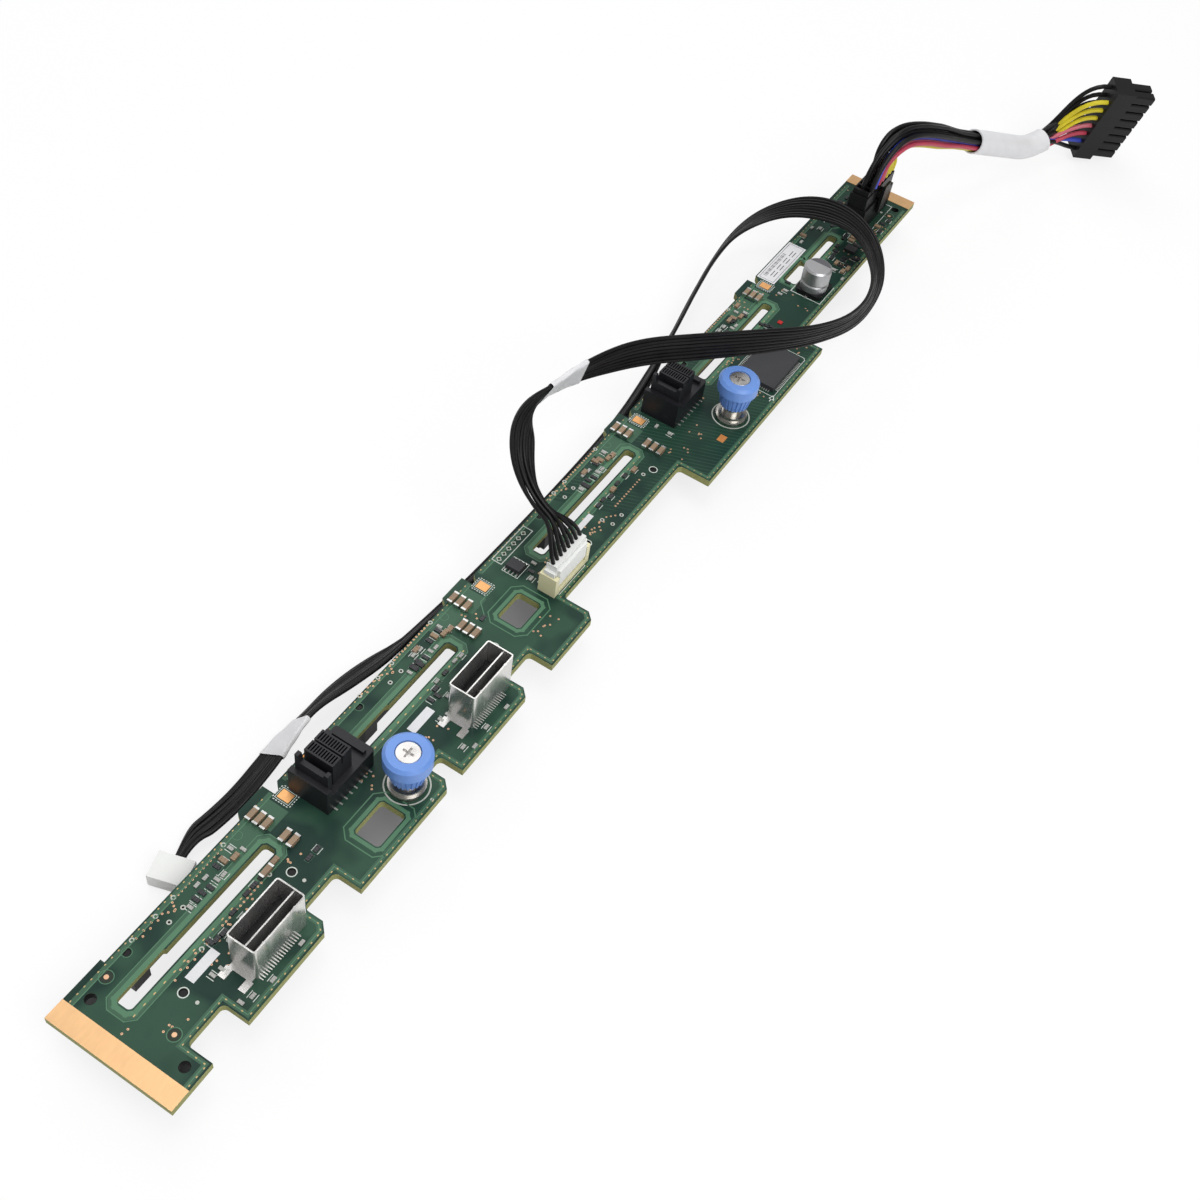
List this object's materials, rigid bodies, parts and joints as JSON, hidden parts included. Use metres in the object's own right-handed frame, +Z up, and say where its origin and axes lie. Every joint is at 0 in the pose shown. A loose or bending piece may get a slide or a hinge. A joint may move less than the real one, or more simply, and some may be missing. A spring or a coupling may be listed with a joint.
{
  "type": "drive backplane board",
  "caption": "Long green drive backplane circuit board with drive receptacles below, cable sockets, captive thumbscrews and two attached cables above.",
  "frame": {"origin": "under the middle of the board, on the plane that the drive receptacles' mating faces rest on; the free cables are left out", "axes": "+X along the row of drives towards the power header, +Y across the board towards the datum edge, +Z up out of the component side"},
  "size_m": [0.5303, 0.1036, 0.0478],
  "materials": {
    "board_laminate": "green solder mask over glass laminate",
    "gold_strips": "bare plated copper",
    "gold_pads": "bare plated copper",
    "receptacle_upper": "black moulded",
    "receptacle_lower": "black moulded",
    "contact_blades": "gold plated",
    "cage_1_steel": "tinned sheet",
    "cage_2_steel": "tinned sheet",
    "cage_core_plastic": "black moulded",
    "cage_leg_metal": "tinned feet",
    "socket_plastic": "black moulded",
    "socket_block_plastic": "black moulded",
    "socket_leg_metal": "tinned feet",
    "ferrule_steel": "turned, plated",
    "knob_1_plastic": "blue moulded",
    "knob_2_plastic": "blue moulded",
    "screw_1_steel": "plated steel",
    "screw_2_steel": "plated steel",
    "retainer_1_steel": "spring steel",
    "retainer_2_steel": "spring steel",
    "capacitor_plastic": "black moulded",
    "capacitor_aluminium": "drawn can",
    "capacitor_tin": "tinned",
    "controller_mould": "moulded package",
    "controller_tin": "tinned leads",
    "chip_mould": "moulded packages",
    "memory_tin": "tinned leads",
    "ceramic_brown": "fired ceramic",
    "ceramic_tin": "tinned end caps",
    "header_cream": "cream moulded",
    "header_pin_metal": "plated pins",
    "plug_white": "white moulded",
    "power_header_black": "black moulded",
    "power_plug_black": "black moulded",
    "harness_insulation": "bundled insulated wires",
    "sleeve_film": "white wrapped film",
    "big_plug_black": "black moulded",
    "big_latch_black": "black moulded",
    "ribbon_insulation": "side-by-side insulated wires",
    "end_plug_white": "white moulded"
  },
  "bodies": {
    "board": {"circuit_board": "board_laminate", "end_contacts": "gold_strips", "edge_pads": "gold_pads", "drive_receptacles_upper": "receptacle_upper", "drive_receptacles_lower": "receptacle_lower", "drive_contacts": "contact_blades", "cage_1_shell": "cage_1_steel", "cage_2_shell": "cage_2_steel", "cage_cores": "cage_core_plastic", "cage_legs": "cage_leg_metal", "socket_bases": "socket_plastic", "socket_blocks": "socket_block_plastic", "socket_legs": "socket_leg_metal", "ferrules": "ferrule_steel", "capacitor_base": "capacitor_plastic", "capacitor_can": "capacitor_aluminium", "capacitor_leads": "capacitor_tin", "controller_chip": "controller_mould", "controller_leads": "controller_tin", "small_chips": "chip_mould", "memory_pins": "memory_tin", "ceramic_bodies": "ceramic_brown", "ceramic_ends": "ceramic_tin", "cable_header": "header_cream", "header_pins": "header_pin_metal", "cable_plug": "plug_white", "power_header": "power_header_black", "power_plug": "power_plug_black", "harness_cord": "harness_insulation", "harness_sleeve": "sleeve_film", "big_plug": "big_plug_black", "big_plug_latch": "big_latch_black", "ribbon_cord": "ribbon_insulation", "ribbon_end_plug": "end_plug_white"},
    "ring_1": {"retainer_1": "retainer_1_steel"},
    "thumbscrew_1": {"knob_1": "knob_1_plastic", "screw_1": "screw_1_steel"},
    "ring_2": {"retainer_2": "retainer_2_steel"},
    "thumbscrew_2": {"knob_2": "knob_2_plastic", "screw_2": "screw_2_steel"}
  },
  "joints": [
    {"name": "thumbscrew_1_travel", "type": "slide", "parent": "board", "child": "ring_1", "axis": [0, 0, -1], "range_m": [-0.001, 0.0017]},
    {"name": "thumbscrew_1_turn", "type": "hinge", "parent": "ring_1", "child": "thumbscrew_1", "pos_m": [-0.1126, -0.0101, 0.02], "axis": [0, 0, 1], "continuous": true},
    {"name": "thumbscrew_2_travel", "type": "slide", "parent": "board", "child": "ring_2", "axis": [0, 0, -1], "range_m": [0, 0.0027]},
    {"name": "thumbscrew_2_turn", "type": "hinge", "parent": "ring_2", "child": "thumbscrew_2", "pos_m": [0.0618, -0.0099, 0.02], "axis": [0, 0, 1], "continuous": true}
  ]
}
